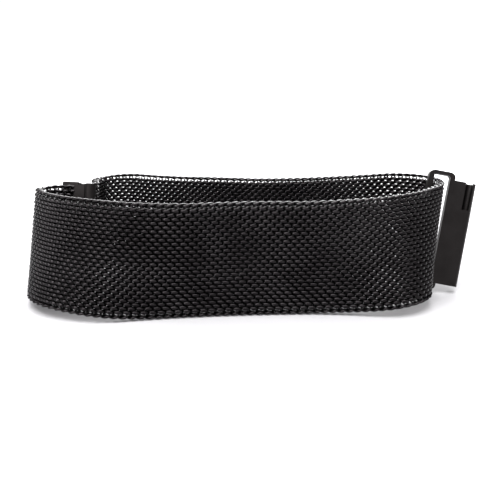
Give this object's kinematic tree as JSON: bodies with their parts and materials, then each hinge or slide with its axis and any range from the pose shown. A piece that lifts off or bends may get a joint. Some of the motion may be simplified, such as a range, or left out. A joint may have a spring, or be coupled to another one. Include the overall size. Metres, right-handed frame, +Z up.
{
  "type": "milanese mesh watch band",
  "caption": "Black woven steel mesh watch band, closed as a loop by a magnetic tip, with a hooped connector and notched tubes for quick release spring bars.",
  "frame": {"origin": "centre of the loop's bounding box on the surface that the band stands on", "axes": "+X to the connector's end, +Y away from the viewer, +Z up across the band's width"},
  "size_m": [0.0952, 0.0406, 0.0257],
  "materials": {
    "mesh": "satin black plated woven steel wire",
    "fittings": "satin black plated steel",
    "tip": "satin black plated steel",
    "magnet": "bright nickel plate",
    "yoke": "bare sheet steel"
  },
  "bodies": {
    "link_01": {"mesh_01": "mesh", "lug_end": "fittings"},
    "link_02": {"mesh_02": "mesh"},
    "link_03": {"mesh_03": "mesh"},
    "link_04": {"mesh_04": "mesh"},
    "link_05": {"mesh_05": "mesh"},
    "link_06": {"mesh_06": "mesh"},
    "link_07": {"mesh_07": "mesh"},
    "link_08": {"mesh_08": "mesh"},
    "link_09": {"mesh_09": "mesh"},
    "link_10": {"mesh_10": "mesh"},
    "link_11": {"mesh_11": "mesh"},
    "link_12": {"mesh_12": "mesh"},
    "link_13": {"mesh_13": "mesh"},
    "link_14": {"mesh_14": "mesh"},
    "link_15": {"mesh_15": "mesh"},
    "link_16": {"mesh_16": "mesh"},
    "link_17": {"mesh_17": "mesh", "tip_shell": "tip", "tip_cover": "tip", "tip_yoke": "yoke", "tip_magnet_1": "magnet", "tip_magnet_2": "magnet", "tip_magnet_3": "magnet"},
    "connector_hoop": {"connector": "fittings"}
  },
  "joints": [
    {"name": "mesh_bend_05", "type": "hinge", "parent": "link_06", "child": "link_05", "pos_m": [-0.0096, -0.01613, 0.01107], "axis": [0.0447, 0.0392, 0.9982], "range_deg": [0, 25]},
    {"name": "mesh_bend_04", "type": "hinge", "parent": "link_05", "child": "link_04", "pos_m": [-0.02427, -0.01703, 0.01122], "axis": [0.0432, 0.1679, 0.9849], "range_deg": [0, 25]},
    {"name": "mesh_bend_03", "type": "hinge", "parent": "link_04", "child": "link_03", "pos_m": [-0.0391, -0.01283, 0.01186], "axis": [0.0874, 0.3666, 0.9263], "range_deg": [0, 12]},
    {"name": "mesh_bend_02", "type": "hinge", "parent": "link_03", "child": "link_02", "pos_m": [-0.04605, -0.00498, 0.01174], "axis": [0.0501, 0.3459, 0.9369], "range_deg": [-25, 0]},
    {"name": "mesh_bend_01", "type": "hinge", "parent": "link_02", "child": "link_01", "pos_m": [-0.04319, -0.00072, 0.01174], "axis": [0.024, 0.3471, 0.9375], "range_deg": [-25, 0]},
    {"name": "mesh_bend_06", "type": "hinge", "parent": "link_06", "child": "link_07", "pos_m": [0.00746, -0.01493, 0.01107], "axis": [0.0423, 0.039, 0.9983], "range_deg": [-25, 0]},
    {"name": "mesh_bend_07", "type": "hinge", "parent": "link_07", "child": "link_08", "pos_m": [0.02523, -0.01432, 0.01195], "axis": [0.0312, 0.2229, 0.9743], "range_deg": [-25, 0]},
    {"name": "mesh_bend_08", "type": "hinge", "parent": "link_08", "child": "link_09", "pos_m": [0.0362, -0.0067, 0.0127], "axis": [0.0768, 0.2609, 0.9623], "range_deg": [-25, 0]},
    {"name": "mesh_bend_09", "type": "hinge", "parent": "link_09", "child": "link_10", "pos_m": [0.03755, 0.00047, 0.01307], "axis": [0.164, 0.2365, 0.9577], "range_deg": [-10, 0]},
    {"name": "mesh_bend_10", "type": "hinge", "parent": "link_10", "child": "link_11", "pos_m": [0.02827, 0.00931, 0.01271], "axis": [0.1128, 0.1445, 0.9831], "range_deg": [-25, 0]},
    {"name": "mesh_bend_11", "type": "hinge", "parent": "link_11", "child": "link_12", "pos_m": [0.01268, 0.00986, 0.0119], "axis": [0.1061, -0.0546, 0.9929], "range_deg": [-25, 0]},
    {"name": "mesh_bend_12", "type": "hinge", "parent": "link_12", "child": "link_13", "pos_m": [-0.00244, 0.01219, 0.01131], "axis": [0.1053, -0.0852, 0.9908], "range_deg": [-25, 0]},
    {"name": "mesh_bend_13", "type": "hinge", "parent": "link_13", "child": "link_14", "pos_m": [-0.01573, 0.01447, 0.01113], "axis": [0.1203, 0.0047, 0.9927], "range_deg": [-25, 0]},
    {"name": "mesh_bend_14", "type": "hinge", "parent": "link_14", "child": "link_15", "pos_m": [-0.02973, 0.01669, 0.01139], "axis": [0.1522, 0.1946, 0.969], "range_deg": [-25, 0]},
    {"name": "mesh_bend_15", "type": "hinge", "parent": "link_15", "child": "link_16", "pos_m": [-0.0375, 0.01123, 0.0117], "axis": [0.0597, 0.3345, 0.9405], "range_deg": [-25, 0]},
    {"name": "mesh_bend_16", "type": "hinge", "parent": "link_16", "child": "link_17", "pos_m": [-0.03674, 0.0053, 0.0117], "axis": [0.033, 0.3369, 0.941], "range_deg": [-25, 0]},
    {"name": "connector_swing", "type": "hinge", "parent": "link_10", "child": "connector_hoop", "pos_m": [0.03569, -0.00012, 0.01352], "axis": [0.1828, 0.2606, 0.948], "range_deg": [0, 15]}
  ]
}
